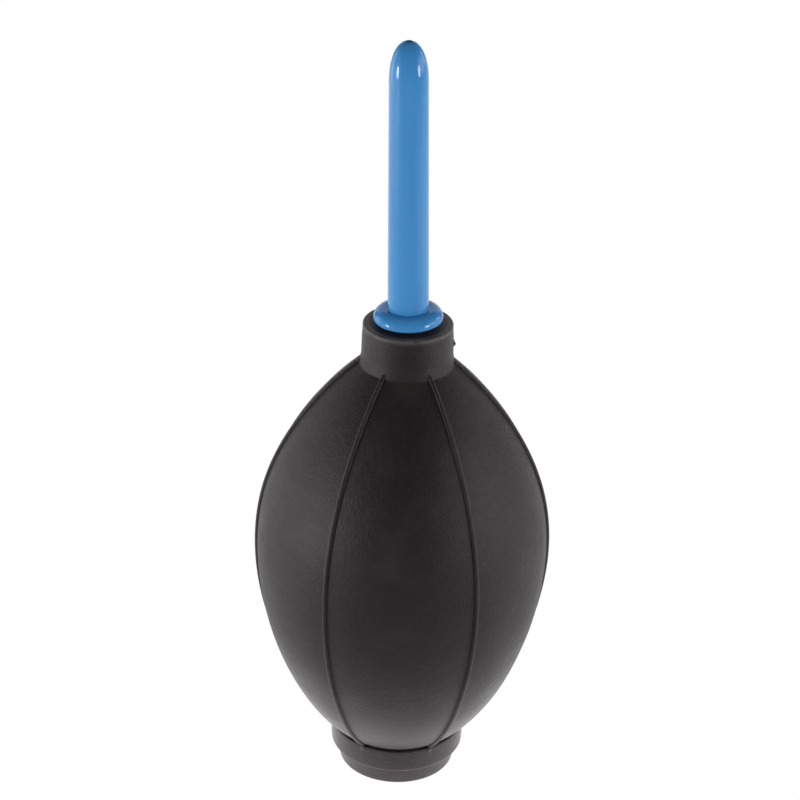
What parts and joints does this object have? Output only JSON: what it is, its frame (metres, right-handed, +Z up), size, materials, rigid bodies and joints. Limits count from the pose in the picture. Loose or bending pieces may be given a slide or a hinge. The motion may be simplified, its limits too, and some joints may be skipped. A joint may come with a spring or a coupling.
{
  "type": "dust blower bulb",
  "caption": "Squeeze bulb with moulded ribs and a stepped foot, a push-in tapered nozzle on its collar and an inlet valve in its underside, for blowing dust off small parts.",
  "frame": {"origin": "centre of the underside of the foot, on the surface the bulb stands on", "axes": "+Z up along the axis of the bulb, towards the nozzle's tip; +Y is the way the thumb patch goes in"},
  "size_m": [0.0542, 0.0532, 0.1435],
  "materials": {
    "bulb_rubber": "satin black moulded rubber",
    "nozzle_plastic": "glossy blue moulded plastic",
    "valve_plastic": "satin grey moulded plastic",
    "valve_silicone": "matt translucent silicone"
  },
  "bodies": {
    "bulb": {"bulb_shell": "bulb_rubber", "valve_seat": "valve_plastic", "valve_cage": "valve_plastic"},
    "nozzle": {"nozzle": "nozzle_plastic"},
    "thumb_side": {"thumb_wall": "bulb_rubber"},
    "finger_side": {"finger_wall": "bulb_rubber"},
    "valve_disc": {"valve_disc": "valve_silicone"}
  },
  "joints": [
    {"name": "nozzle_pull", "type": "slide", "parent": "bulb", "child": "nozzle", "axis": [0, 0, 1], "range_m": [0, 0.016]},
    {"name": "thumb_press", "type": "slide", "parent": "bulb", "child": "thumb_side", "axis": [0, 1, 0], "range_m": [0, 0.008], "stiffness_N_per_m": 900},
    {"name": "finger_press", "type": "slide", "parent": "bulb", "child": "finger_side", "axis": [0, -1, 0], "range_m": [0, 0.008], "stiffness_N_per_m": 900},
    {"name": "disc_lift", "type": "slide", "parent": "bulb", "child": "valve_disc", "axis": [0, 0, 1], "range_m": [0, 0.0012]}
  ],
  "couplings": [
    {"joint": "finger_press", "follows": "thumb_press", "ratio": 1}
  ]
}
